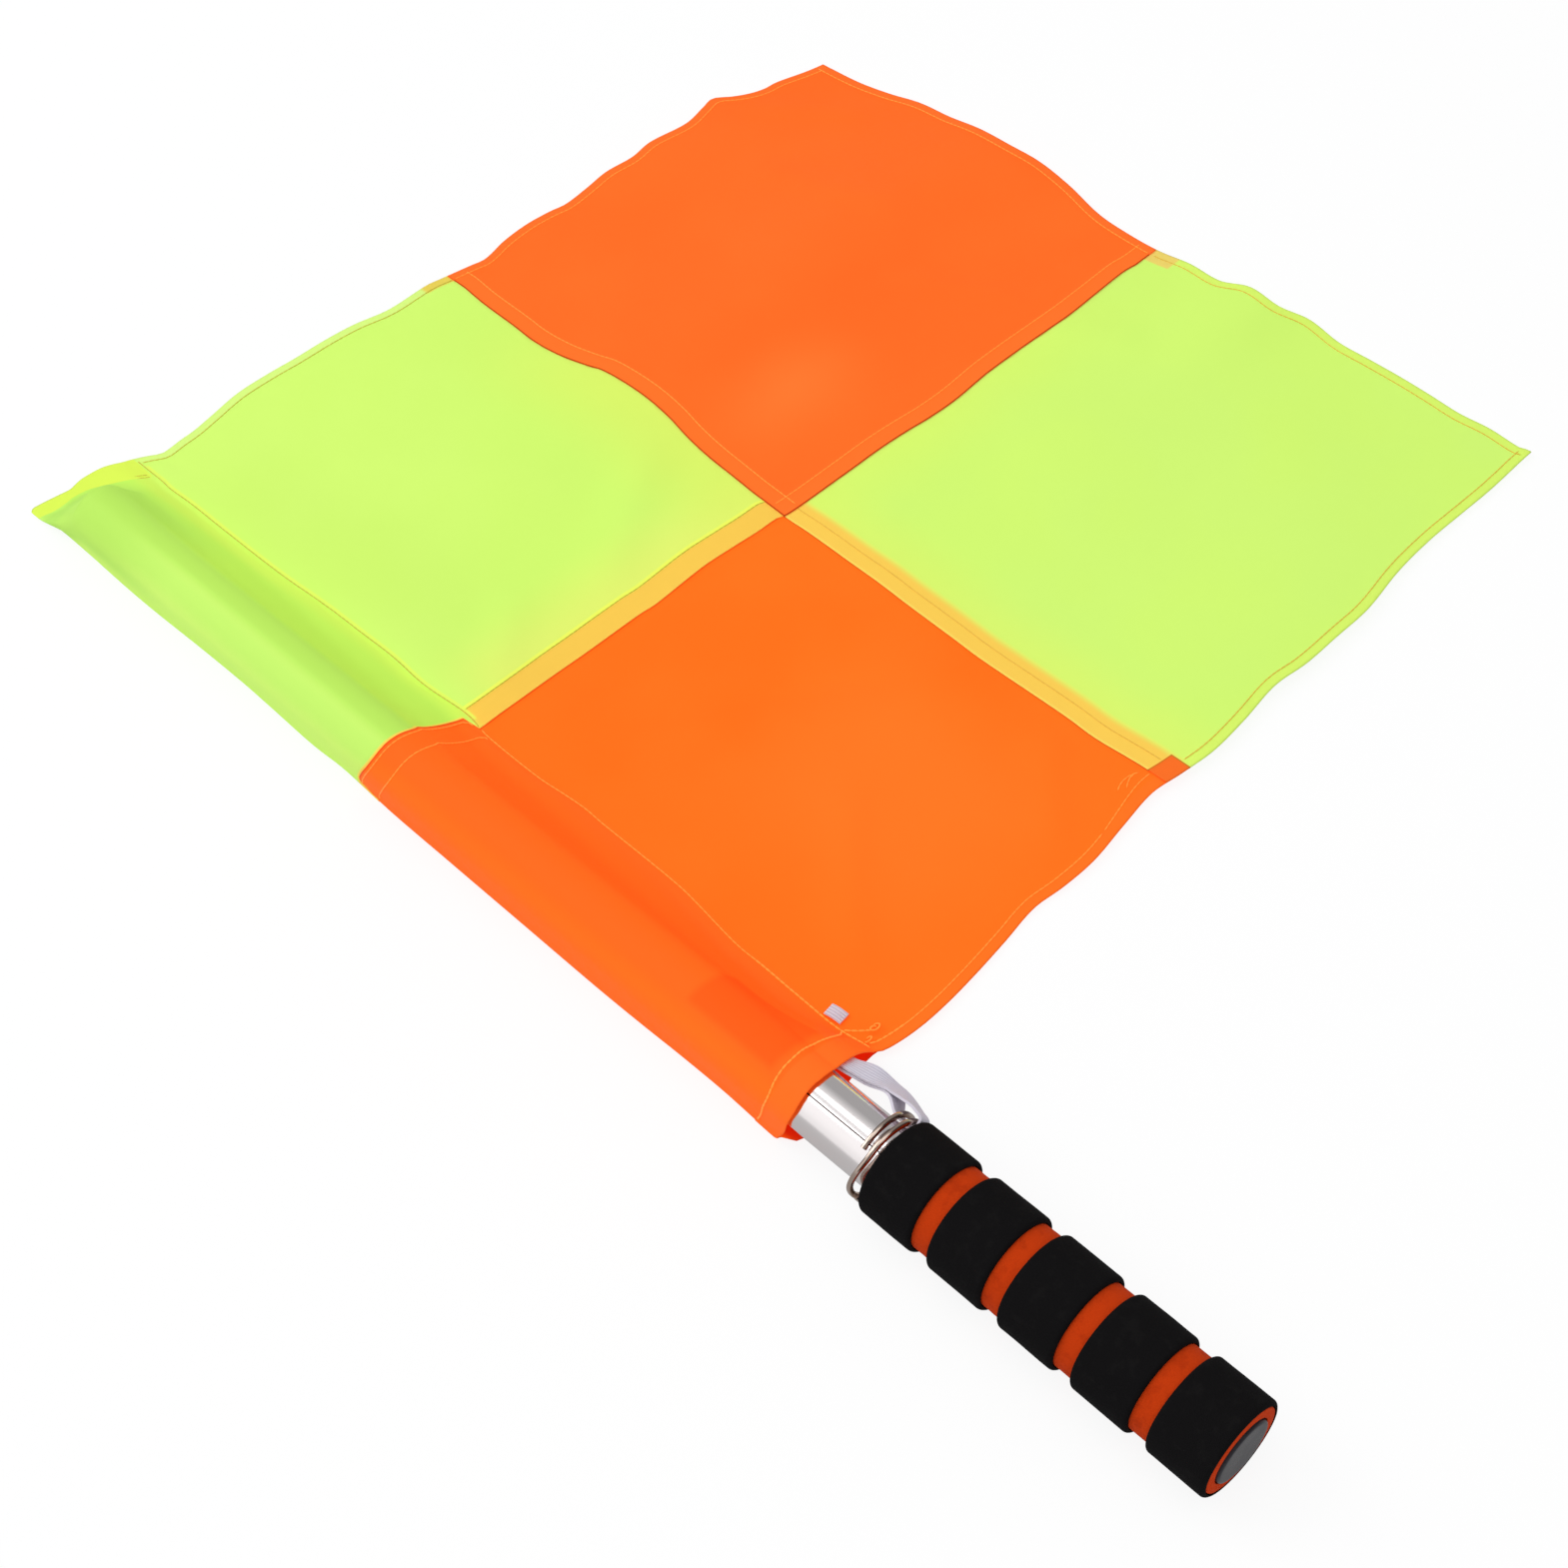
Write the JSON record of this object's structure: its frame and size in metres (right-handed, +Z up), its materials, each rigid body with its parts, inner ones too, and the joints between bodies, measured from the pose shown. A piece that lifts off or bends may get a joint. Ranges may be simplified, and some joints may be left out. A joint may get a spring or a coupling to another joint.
{
  "type": "linesman flag",
  "caption": "Hand flag of checked cloth on a short steel pole, with a ribbed foam grip, and a split ring and an elastic loop that hold the cloth's sleeve.",
  "frame": {"origin": "middle of the whole part's underside, on the surface that it lies on", "axes": "+Y along the pole from the grip's butt to the tip, +X from the pole towards the fly edge of the cloth, +Z up"},
  "size_m": [0.374, 0.5178, 0.03],
  "materials": {
    "polished_steel": "polished, with one thin lengthwise seam",
    "nickel_wire": "bright nickel plate",
    "plug_plastic": "moulded, glossy",
    "orange_foam": "matte foam",
    "black_foam": "matte foam",
    "white_elastic": "ribbed woven elastic",
    "yellow_cloth": "thin fluorescent yellow-green polyester",
    "orange_cloth": "thin fluorescent orange polyester"
  },
  "bodies": {
    "pole": {"pole_tube": "polished_steel", "butt_plug": "plug_plastic", "tip_plug": "plug_plastic", "grip_core": "orange_foam", "grip_band_1": "black_foam", "grip_band_2": "black_foam", "grip_band_3": "black_foam", "grip_band_4": "black_foam", "grip_band_5": "black_foam"},
    "ring": {"split_ring": "nickel_wire"},
    "flag": {"elastic_loop": "white_elastic", "cloth_tip_hoist": "yellow_cloth", "cloth_tip_fly": "orange_cloth", "cloth_butt_hoist": "orange_cloth", "cloth_butt_fly": "yellow_cloth"}
  },
  "joints": [
    {"name": "flag_slide", "type": "slide", "parent": "pole", "child": "ring", "axis": [0, 1, 0], "range_m": [0, 0.37]},
    {"name": "flag_swivel", "type": "hinge", "parent": "ring", "child": "flag", "pos_m": [-0.17198, -0.137, 0.015], "axis": [0, 1, 0], "continuous": true}
  ]
}
